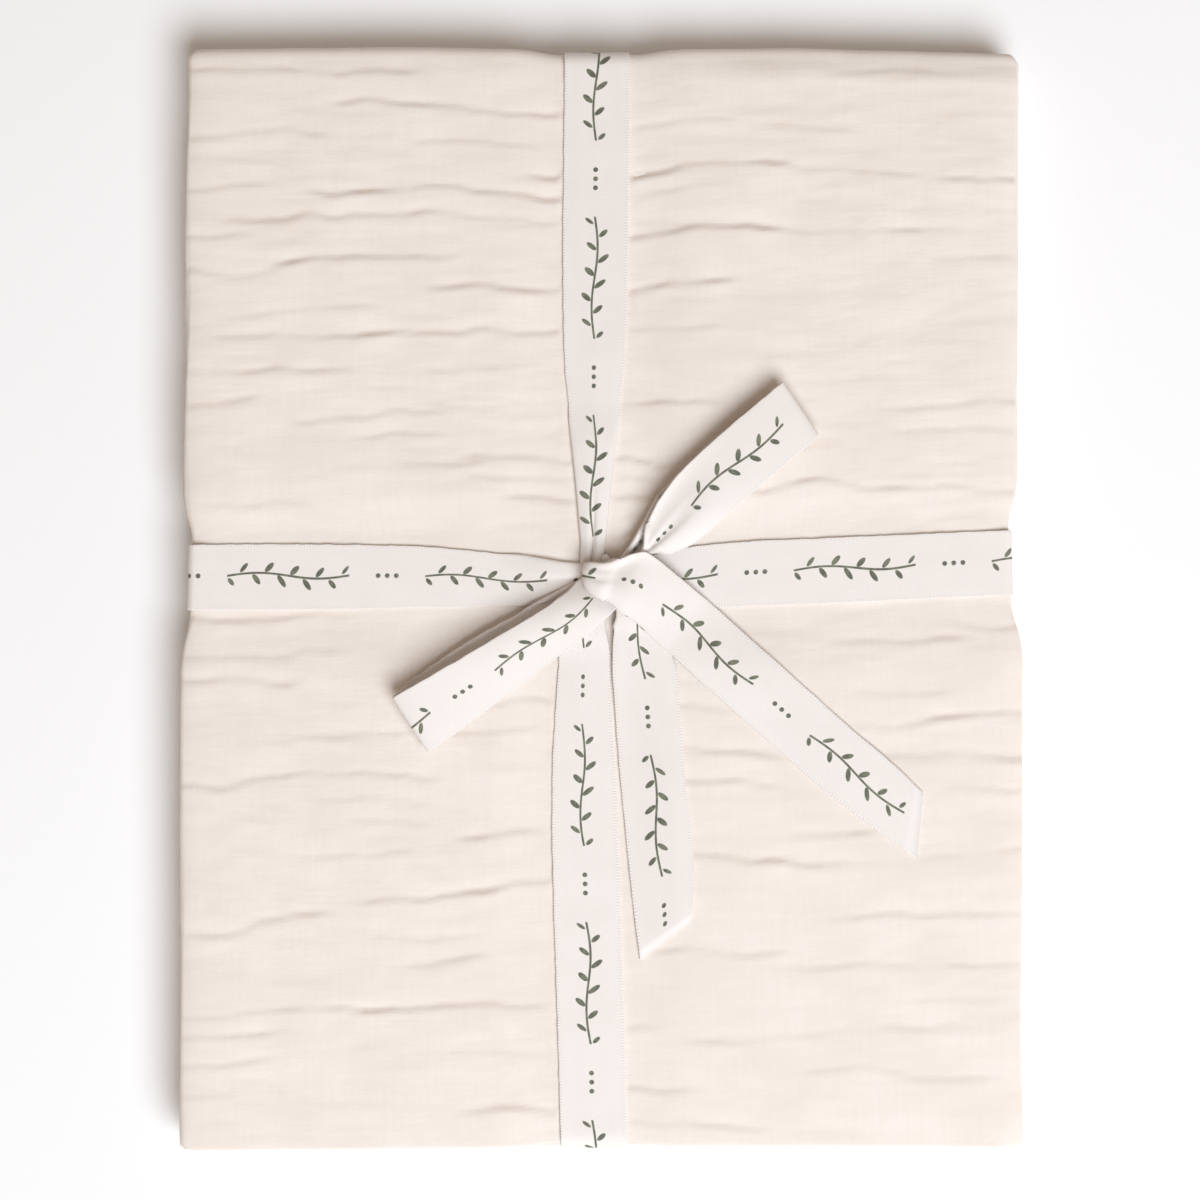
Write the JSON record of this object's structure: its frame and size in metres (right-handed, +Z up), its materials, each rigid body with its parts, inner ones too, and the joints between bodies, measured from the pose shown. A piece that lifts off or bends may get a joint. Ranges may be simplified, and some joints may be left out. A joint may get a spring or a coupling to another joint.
{
  "type": "folded fitted crib sheet tied with cotton tape",
  "caption": "Fitted crib sheet of crinkled cotton muslin, folded into a flat stack and tied crosswise with a flat cotton tape that ends in a bow.",
  "frame": {"origin": "on the resting surface, under the middle of the folded stack", "axes": "+X across the stack to its right side as tied, +Y along its long side, +Z up to the bow"},
  "size_m": [0.2606, 0.3405, 0.0282],
  "materials": {
    "muslin": "matt crinkled double muslin, pale beige",
    "cotton_tape": "woven twill tape, off-white, with a small olive green print"
  },
  "bodies": {
    "root": {"folded_sheet": "muslin", "tape_tie": "cotton_tape"}
  },
  "joints": []
}
